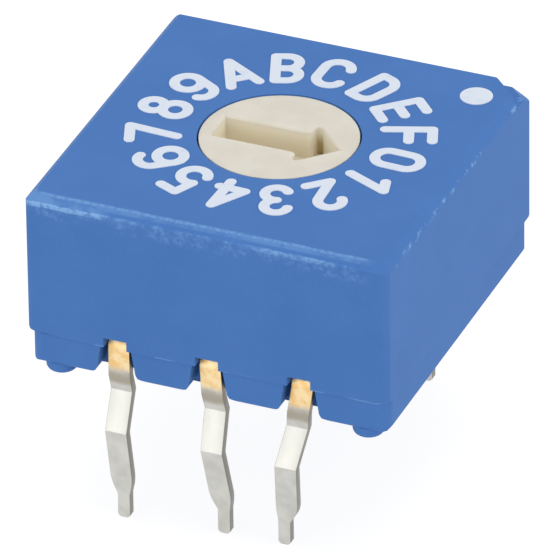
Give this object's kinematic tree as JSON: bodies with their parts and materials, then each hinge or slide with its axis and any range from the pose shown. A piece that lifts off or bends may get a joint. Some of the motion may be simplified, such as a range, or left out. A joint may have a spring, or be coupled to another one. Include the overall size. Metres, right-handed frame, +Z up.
{
  "type": "binary coded rotary switch",
  "caption": "Square sealed rotary coding switch for through-hole boards, with an arrow-slotted rotor, a hexadecimal dial and two rows of crimped legs.",
  "frame": {"origin": "Centre of the footprint, on the board surface that the four standoffs rest on.", "axes": "+X from the rotor axis towards dial position 0, +Y towards the back row of legs and the index dot's side, +Z up out of the board."},
  "size_m": [0.01, 0.0102, 0.0095],
  "materials": {
    "housing_blue": "satin moulded blue thermoplastic",
    "rotor_cream": "satin moulded cream thermoplastic",
    "seal_rubber": "black elastomer",
    "laminate": "glass-fibre laminate",
    "gold_plating": "gold plated",
    "spring_steel": "stainless spring strip",
    "terminal_tin": "tin plated legs, gold plated above the bend",
    "white_ink": "pad-printed white ink"
  },
  "bodies": {
    "housing": {"cover": "housing_blue", "base": "housing_blue", "detent_spring_right": "spring_steel", "detent_spring_left": "spring_steel", "terminal_1": "terminal_tin", "terminal_2": "terminal_tin", "terminal_4": "terminal_tin", "terminal_8": "terminal_tin", "terminal_common_front": "terminal_tin", "terminal_common_back": "terminal_tin", "contact_spring_1": "gold_plating", "contact_spring_2": "gold_plating", "contact_spring_4": "gold_plating", "contact_spring_8": "gold_plating", "contact_spring_common_front": "gold_plating", "contact_spring_common_back": "gold_plating", "dial_print": "white_ink", "index_dot_print": "white_ink"},
    "rotor": {"rotor": "rotor_cream", "rotor_o_ring": "seal_rubber", "code_disc": "laminate", "code_pattern": "gold_plating"}
  },
  "joints": [
    {"name": "rotor_turn", "type": "hinge", "parent": "housing", "child": "rotor", "pos_m": [0, 0, 0.00531], "axis": [0, 0, 1], "continuous": true, "deforming": ["detent_spring_right", "detent_spring_left"]}
  ]
}
